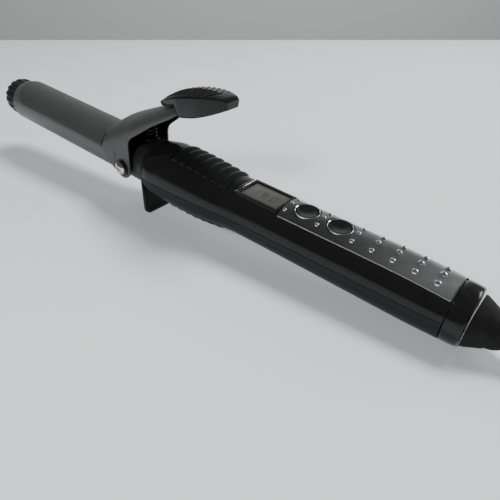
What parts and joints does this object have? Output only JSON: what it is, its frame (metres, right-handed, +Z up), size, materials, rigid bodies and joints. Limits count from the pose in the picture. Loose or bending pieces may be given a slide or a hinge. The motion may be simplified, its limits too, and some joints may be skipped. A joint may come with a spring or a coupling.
{
  "type": "curling iron",
  "caption": "Hair curling iron: heated round barrel with a sprung clip, ribbed handle with display and buttons, stand plate and swivel cord.",
  "frame": {"origin": "centre of the iron's own box, without the cord, on the surface that it stands on", "axes": "+X along the iron from the barrel's cool tip to the cord, +Y to its left, +Z up"},
  "size_m": [0.5376, 0.0557, 0.0739],
  "materials": {
    "barrel_grey": "satin grey coating",
    "clip_grey": "satin dark grey coating",
    "gloss_black": "polished black",
    "satin_black": "satin black",
    "rubber_black": "matte black",
    "tip_black": "satin black",
    "brushed_steel": "brushed along the handle",
    "chrome": "polished",
    "nickel": "bright nickel",
    "spring_steel": "blackened spring steel",
    "zinc_steel": "zinc plated",
    "display_glass": "clear window over a grey display",
    "display_body": "moulded",
    "aluminium": "as extruded",
    "heater_ceramic": "white ceramic",
    "glass_fibre": "heat resistant insulator",
    "board_green": "solder mask",
    "part_black": "moulded",
    "capacitor_yellow": "moulded",
    "brass": "bright",
    "nylon": "natural",
    "cord_black": "matte black"
  },
  "bodies": {
    "tool": {"barrel_tube": "barrel_grey", "cool_tip": "tip_black", "tip_bush": "glass_fibre", "tip_screw": "zinc_steel", "heater_clamp_upper": "aluminium", "heater_clamp_lower": "aluminium", "heating_element": "heater_ceramic", "thermal_fuse": "zinc_steel", "temperature_sensor": "part_black", "barrel_holder": "glass_fibre", "heater_lead_live": "nylon", "heater_lead_neutral": "nylon", "sensor_lead": "nylon", "pivot_screw_left": "nickel", "pivot_screw_right": "nickel", "pivot_washer_left": "spring_steel", "pivot_washer_right": "spring_steel", "pivot_bush_left": "nylon", "pivot_bush_right": "nylon", "pivot_plate": "zinc_steel", "spring_saddle": "satin_black", "clip_spring": "spring_steel", "handle_upper_shell": "gloss_black", "handle_lower_shell": "satin_black", "handle_screw_front": "zinc_steel", "handle_screw_rear": "zinc_steel", "grip_insert_upper": "satin_black", "grip_insert_lower": "rubber_black", "front_collar_stand": "satin_black", "display_bezel": "gloss_black", "display_window": "display_glass", "display_module": "display_body", "control_panel": "brushed_steel", "button_trim_front": "chrome", "button_trim_rear": "chrome", "button_switch_front": "part_black", "button_switch_rear": "part_black", "circuit_board": "board_green", "triac": "part_black", "mains_capacitor": "capacitor_yellow", "rear_end_cap": "gloss_black", "brush_live": "brass", "brush_neutral": "brass", "power_cord": "cord_black", "cord_hank": "cord_black", "plug_lead": "cord_black", "plug_body": "rubber_black", "plug_blade_left": "brass", "plug_blade_right": "brass"},
    "clip": {"clip_plate": "clip_grey", "thumb_pad": "satin_black", "pad_screw": "zinc_steel"},
    "front_button": {"button_front": "gloss_black"},
    "rear_button": {"button_rear": "gloss_black"},
    "swivel": {"swivel_spindle": "nylon", "slip_ring_live": "brass", "slip_ring_neutral": "brass", "cord_strain_relief": "rubber_black"}
  },
  "joints": [
    {"name": "clip_hinge", "type": "hinge", "parent": "tool", "child": "clip", "pos_m": [-0.05185, 0, 0.02468], "axis": [0, 1, 0], "range_deg": [0, 22], "stiffness_Nm_per_rad": 0.35, "springref_deg": -20.05, "deforming": ["clip_spring"]},
    {"name": "front_button_press", "type": "slide", "parent": "tool", "child": "front_button", "axis": [-0.0805, 0, -0.9968], "range_m": [0, 0.0006], "stiffness_N_per_m": 1500, "springref_m": -0.0004},
    {"name": "rear_button_press", "type": "slide", "parent": "tool", "child": "rear_button", "axis": [-0.0805, 0, -0.9968], "range_m": [0, 0.0006], "stiffness_N_per_m": 1500, "springref_m": -0.0004},
    {"name": "cord_swivel", "type": "hinge", "parent": "tool", "child": "swivel", "pos_m": [0.1355, 0, 0.01266], "axis": [0.9968, 0, -0.0805], "continuous": true}
  ]
}
